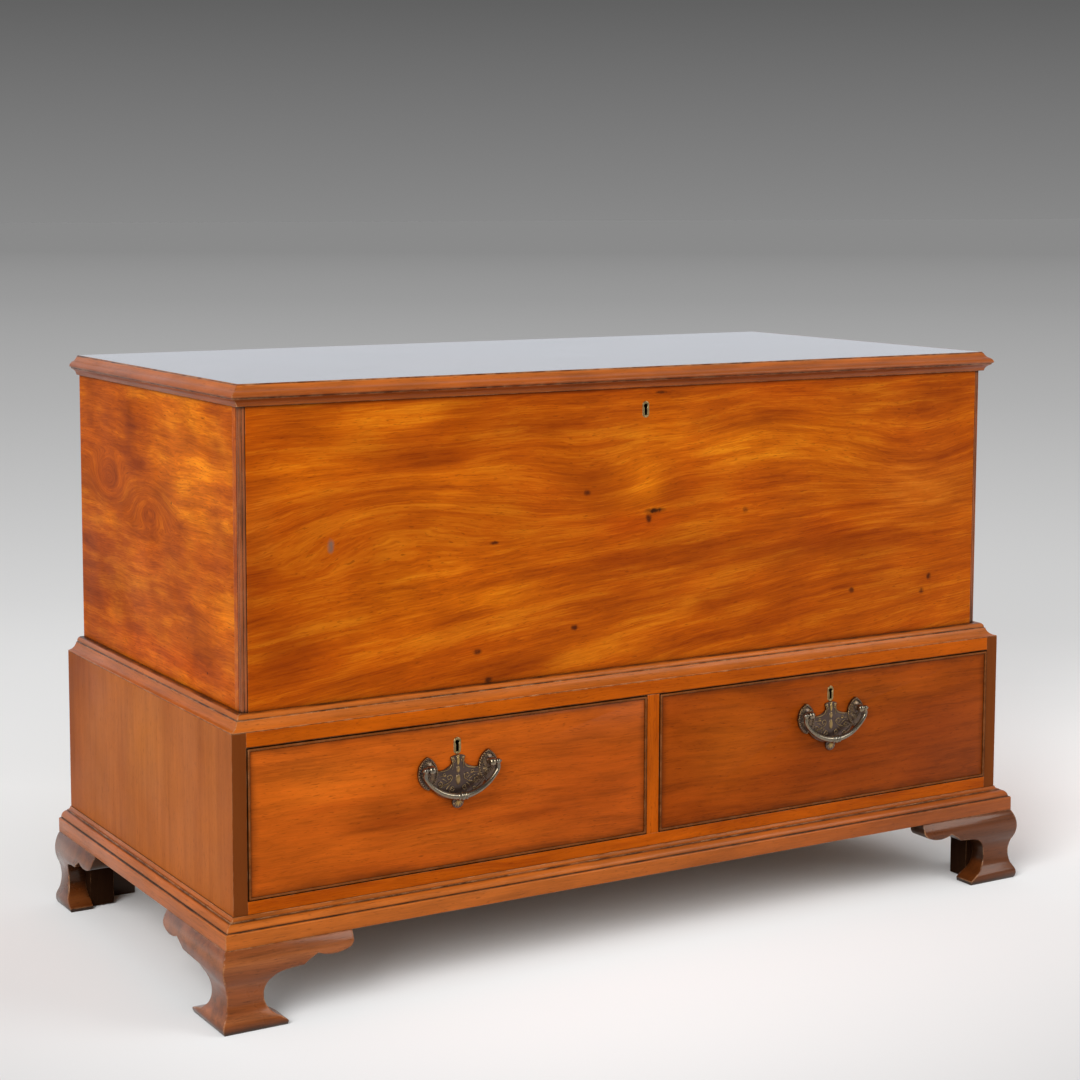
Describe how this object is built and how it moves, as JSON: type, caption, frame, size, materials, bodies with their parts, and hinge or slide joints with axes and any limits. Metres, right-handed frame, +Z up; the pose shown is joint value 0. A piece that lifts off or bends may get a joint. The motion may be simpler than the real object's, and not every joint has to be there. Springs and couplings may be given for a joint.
{
  "type": "mule chest",
  "caption": "Mahogany mule chest: hinged moulded lid over a deep coffer, drawers side by side below, bail handles, ogee bracket feet.",
  "frame": {"origin": "on the floor, at the middle of the whole chest's outer box", "axes": "+X to the chest's right as seen from the front, +Y from its front to its back, +Z up"},
  "size_m": [1.333, 0.6478, 0.8223],
  "materials": {
    "mahogany_coffer": "figured mahogany, polished",
    "mahogany_lid": "mahogany, polished to a mirror",
    "mahogany_case": "straight-grained mahogany, waxed",
    "mahogany_moulding": "dark mahogany, polished",
    "mahogany_drawer": "striped mahogany, polished",
    "pine": "dry, unpolished",
    "oak": "dry, unpolished",
    "patinated_brass": "dark patina, bright on the high points",
    "thread_brass": "worn, tarnished",
    "iron": "wrought, dark"
  },
  "bodies": {
    "case": {"coffer_front": "mahogany_coffer", "coffer_left_end": "mahogany_coffer", "coffer_right_end": "mahogany_coffer", "coffer_back": "pine", "coffer_floor": "pine", "corner_beads": "mahogany_moulding", "coffer_lock": "iron", "coffer_escutcheon": "thread_brass", "case_hinge_halves": "iron", "lower_left_side": "mahogany_case", "lower_right_side": "mahogany_case", "lower_back": "pine", "top_rail": "mahogany_case", "bottom_rail": "mahogany_case", "centre_muntin": "mahogany_case", "waist_moulding_front": "mahogany_moulding", "waist_moulding_left": "mahogany_moulding", "waist_moulding_right": "mahogany_moulding", "base_moulding_front": "mahogany_moulding", "base_moulding_left": "mahogany_moulding", "base_moulding_right": "mahogany_moulding", "base_board": "pine", "drawer_runners": "oak", "centre_guide": "oak", "drawer_kickers": "oak", "drawer_stops": "oak", "front_left_foot": "mahogany_moulding", "front_right_foot": "mahogany_moulding", "rear_left_foot": "mahogany_moulding", "rear_right_foot": "mahogany_moulding", "foot_blocks": "pine"},
    "lid": {"lid_board": "mahogany_lid", "lid_moulding_front": "mahogany_moulding", "lid_moulding_left": "mahogany_moulding", "lid_moulding_right": "mahogany_moulding", "lid_hinge_halves": "iron", "lid_strike": "iron"},
    "coffer_bolt": {"coffer_lock_bolt": "iron"},
    "left_drawer": {"left_drawer_front": "mahogany_drawer", "left_drawer_sides": "oak", "left_drawer_back": "oak", "left_drawer_bottom": "oak", "left_drawer_cockbead": "mahogany_moulding", "left_drawer_escutcheon": "thread_brass", "left_handle_plate": "patinated_brass", "left_handle_posts": "patinated_brass", "left_drawer_lock": "iron"},
    "left_bail": {"left_handle_bail": "patinated_brass"},
    "left_bolt": {"left_lock_bolt": "iron"},
    "right_drawer": {"right_drawer_front": "mahogany_drawer", "right_drawer_sides": "oak", "right_drawer_back": "oak", "right_drawer_bottom": "oak", "right_drawer_cockbead": "mahogany_moulding", "right_drawer_escutcheon": "thread_brass", "right_handle_plate": "patinated_brass", "right_handle_posts": "patinated_brass", "right_drawer_lock": "iron"},
    "right_bail": {"right_handle_bail": "patinated_brass"},
    "right_bolt": {"right_lock_bolt": "iron"}
  },
  "joints": [
    {"name": "lid_hinge", "type": "hinge", "parent": "case", "child": "lid", "pos_m": [0, 0.3204, 0.80215], "axis": [-1, 0, 0], "range_deg": [0, 95]},
    {"name": "coffer_bolt_slide", "type": "slide", "parent": "case", "child": "coffer_bolt", "axis": [1, 0, 0], "range_m": [0, 0.008]},
    {"name": "left_drawer_slide", "type": "slide", "parent": "case", "child": "left_drawer", "axis": [0, -1, 0], "range_m": [0, 0.4]},
    {"name": "left_bail_hinge", "type": "hinge", "parent": "left_drawer", "child": "left_bail", "pos_m": [-0.315, -0.3114, 0.302], "axis": [-1, 0, 0], "range_deg": [0, 88]},
    {"name": "left_lock_bolt_slide", "type": "slide", "parent": "left_drawer", "child": "left_bolt", "axis": [0, 0, 1], "range_m": [0, 0.007]},
    {"name": "right_drawer_slide", "type": "slide", "parent": "case", "child": "right_drawer", "axis": [0, -1, 0], "range_m": [0, 0.4]},
    {"name": "right_bail_hinge", "type": "hinge", "parent": "right_drawer", "child": "right_bail", "pos_m": [0.315, -0.3114, 0.302], "axis": [-1, 0, 0], "range_deg": [0, 88]},
    {"name": "right_lock_bolt_slide", "type": "slide", "parent": "right_drawer", "child": "right_bolt", "axis": [0, 0, 1], "range_m": [0, 0.007]}
  ]
}
